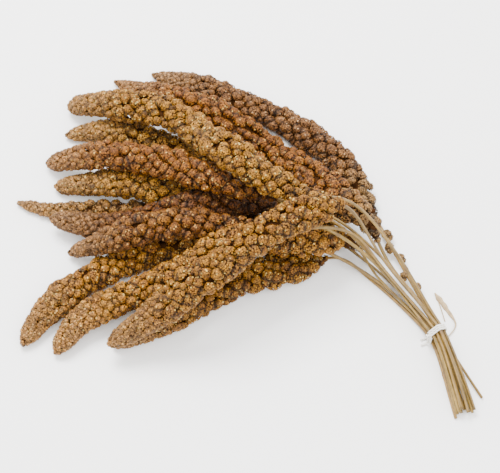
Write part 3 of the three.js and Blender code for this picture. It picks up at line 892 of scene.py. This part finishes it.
winding = thread_turns()
across = heading(TIE_HEADING)[1]
heart = (winding[0] + winding[-1]) / 2 - [*(across * 0.6 * THREAD), 0]
t = np.linspace(0, 2 * math.pi, KNOT_POINTS)
knot = heart + KNOT_LOOP * np.column_stack([np.sin(t) + 2 * np.sin(2 * t), -1.4 * np.sin(3 * t),
                                            np.cos(t) - 2 * np.cos(2 * t)])
thread = Build()
add_strand(thread, winding, THREAD_RADIUS, STRAND_STEP, plies=True)
add_strand(thread, knot, 0.8 * THREAD_RADIUS, STRAND_STEP, plies=True)
for tail in THREAD_TAILS:
    ends = [[*(np.array(spot) * MM - MIDDLE), TAIL_HEIGHT] for spot in tail]
    add_strand(thread, ends + [heart], 0.9 * THREAD_RADIUS, STRAND_STEP, plies=True)
piece = thread.object("wound_thread", [thread_skin()])
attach(piece, "root")
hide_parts("tie_thread")


# The dry leaf
# A torn shred of a millet leaf, thin, curled lengthwise and tan, caught under the thread. It lies on the
# table, and a loose fibre hangs back from its far end.

SHRED = [(146.5, -92), (151.5, -88.5), (158, -78.5), (151, -64), (144, -51.5)]
SHRED_STRAND = [(144.5, -53), (147, -62), (150, -76)]
SHRED_WIDTH = 2.4 * MM
LEAF_THICK = 0.28 * MM
LEAF_STEP = 0.8 * MM
LEAF_COLUMNS = 7
LEAF_CURL = 1.3  # how far each edge curls up, in radians
LEAF_LENGTH = 0.06  # as its veins are drawn out along it
VEINS_ACROSS = 1.2
FIBRE_RADIUS = 0.4 * MM
FIBRE_STEP = 1 * MM


def add_blade(build, route):
    """The leaf blade: a narrow strip, curled across into a gutter that rolls over along its length."""
    points = even_points(np.array(route), LEAF_STEP)
    ahead, side, up = sweep(points)
    share = np.linspace(0, 1, len(points))
    half = SHRED_WIDTH / 2 * (0.55 + 1.25 * ease(share * 1.5 - 0.35))  # wider away from the tie
    half = half * np.sqrt(np.clip((1 - share) * 9, 0.15, 1))  # and blunt at its end
    half = half * (1 + 0.12 * np.sin(share * 37))  # with torn edges
    lift = 0.25 * math.pi + 1.1 * np.sin(share * 5 + 1)  # how far it is rolled over
    across = np.linspace(-1, 1, LEAF_COLUMNS)
    rows = []
    for sign in (1, -1):
        for u in across[::sign]:
            curl = LEAF_CURL * u
            x = half * np.sin(curl)
            y = half * (1 - np.cos(curl)) * 0.9 - 0.4 * half + sign * LEAF_THICK / 2
            rows.append(side * (x * np.cos(lift) - y * np.sin(lift))[:, None]
                        + up * (x * np.sin(lift) + y * np.cos(lift))[:, None])
    ring = points[:, None] + np.stack(rows, axis=1)
    low = ring[:, :, 2].min(axis=1)
    ring[:, :, 2] += np.maximum(0.1 * MM - low, 0)[:, None]
    sides = ring.shape[1]
    mesh_points = np.concatenate([ring.reshape(-1, 3), ring[:1].mean(axis=1), ring[-1:].mean(axis=1)])
    along = np.concatenate([np.repeat(share * LEAF_LENGTH, sides), [0, LEAF_LENGTH]])
    around = np.tile(np.concatenate([across, across[::-1]]) * VEINS_ACROSS, len(points))
    around = np.concatenate([around, [0, 0]])
    build.add(mesh_points, tube_faces(len(points), sides), 0, along=along, around=around)


def leaf_skin():
    """Dry leaf: papery tan with veins along it."""
    material, nodes, links, shader = new_material("dry_leaf_skin")
    along, around = attribute(nodes, "along"), attribute(nodes, "around")
    stretch = nodes.new("ShaderNodeMath")
    stretch.operation = "MULTIPLY"
    stretch.inputs[1].default_value = 8
    joined = nodes.new("ShaderNodeCombineXYZ")
    vein = nodes.new("ShaderNodeTexNoise")
    vein.inputs["Scale"].default_value = 5
    vein.inputs["Detail"].default_value = 3
    colour = nodes.new("ShaderNodeValToRGB")
    colour.color_ramp.elements[0].position = 0.35
    colour.color_ramp.elements[0].color = (0.27, 0.17, 0.075, 1)
    colour.color_ramp.elements[1].position = 0.62
    colour.color_ramp.elements[1].color = (0.50, 0.38, 0.22, 1)
    blotch = add_speckle(nodes, 400, 0.25)
    bump = nodes.new("ShaderNodeBump")
    bump.inputs["Strength"].default_value = 0.6
    bump.inputs["Distance"].default_value = 0.0003
    links.new(along.outputs["Fac"], stretch.inputs[0])
    links.new(around.outputs["Fac"], joined.inputs["X"])
    links.new(stretch.outputs[0], joined.inputs["Y"])
    links.new(joined.outputs["Vector"], vein.inputs["Vector"])
    links.new(vein.outputs["Fac"], colour.inputs["Fac"])
    links.new(colour.outputs["Color"], blotch.inputs["Color"])
    links.new(blotch.outputs["Color"], shader.inputs["Base Color"])
    links.new(vein.outputs["Fac"], bump.inputs["Height"])
    links.new(bump.outputs["Normal"], shader.inputs["Normal"])
    shader.inputs["Roughness"].default_value = 0.8
    return material


leaf = Build()
add_blade(leaf, [[*(np.array(spot) * MM - MIDDLE), SHRED_WIDTH / 2] for spot in SHRED])
strand = [[*(np.array(spot) * MM - MIDDLE), SHRED_WIDTH / 3] for spot in SHRED_STRAND]
add_strand(leaf, strand, FIBRE_RADIUS, FIBRE_STEP)
piece = leaf.object("leaf_shred", [leaf_skin()])
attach(piece, "root")
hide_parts("dry_leaf_shred")


# The table, the light and the camera
# A plain pale table under the bunch, lit softly from above and behind as in a small studio. The camera
# looks down on it at the angle of the photograph.

TARGET = np.array([-MIDDLE[0], -MIDDLE[1], 0])  # the middle of the plan, which the photograph looks at
CAMERA_ANGLE = math.radians(60)  # above the table
CAMERA_DISTANCE = 1.0
LENS = 90

bpy.ops.mesh.primitive_plane_add(size=6, location=(0, 0, 0))
table = bpy.context.object
table.name = "table_top"
pale, nodes, links, shader = new_material("pale_table")
shader.inputs["Base Color"].default_value = (0.96, 0.96, 0.96, 1)
shader.inputs["Roughness"].default_value = 0.8
table.data.materials.append(pale)

world = bpy.data.worlds.new("soft_room")
bpy.context.scene.world = world
world.use_nodes = True
world.node_tree.nodes["Background"].inputs["Color"].default_value = (1.0, 0.99, 0.97, 1)
world.node_tree.nodes["Background"].inputs["Strength"].default_value = 2.6


def panel(name, place, size, power):
    """A soft square lamp that faces the bunch."""
    light = bpy.data.lights.new(name, "AREA")
    light.shape = "SQUARE"
    light.size = size
    light.energy = power
    lamp = bpy.data.objects.new(name, light)
    lamp.location = place
    way = TARGET - np.array(place)
    lamp.rotation_euler = (math.atan2(math.hypot(way[0], way[1]), -way[2]), 0,
                           math.atan2(way[1], way[0]) - math.pi / 2)
    bpy.context.scene.collection.objects.link(lamp)


panel("key_panel", (-0.35, 0.55, 1.3), 0.7, 48)
panel("fill_panel", (0.6, -0.6, 1.2), 1.0, 12)

camera = bpy.data.objects.new("camera", bpy.data.cameras.new("camera"))
camera.data.lens = LENS
camera.data.clip_start = 0.01
camera.location = TARGET + CAMERA_DISTANCE * np.array([0, -math.cos(CAMERA_ANGLE), math.sin(CAMERA_ANGLE)])
camera.rotation_euler = (math.pi / 2 - CAMERA_ANGLE, 0, 0)
bpy.context.scene.collection.objects.link(camera)
bpy.context.scene.camera = camera
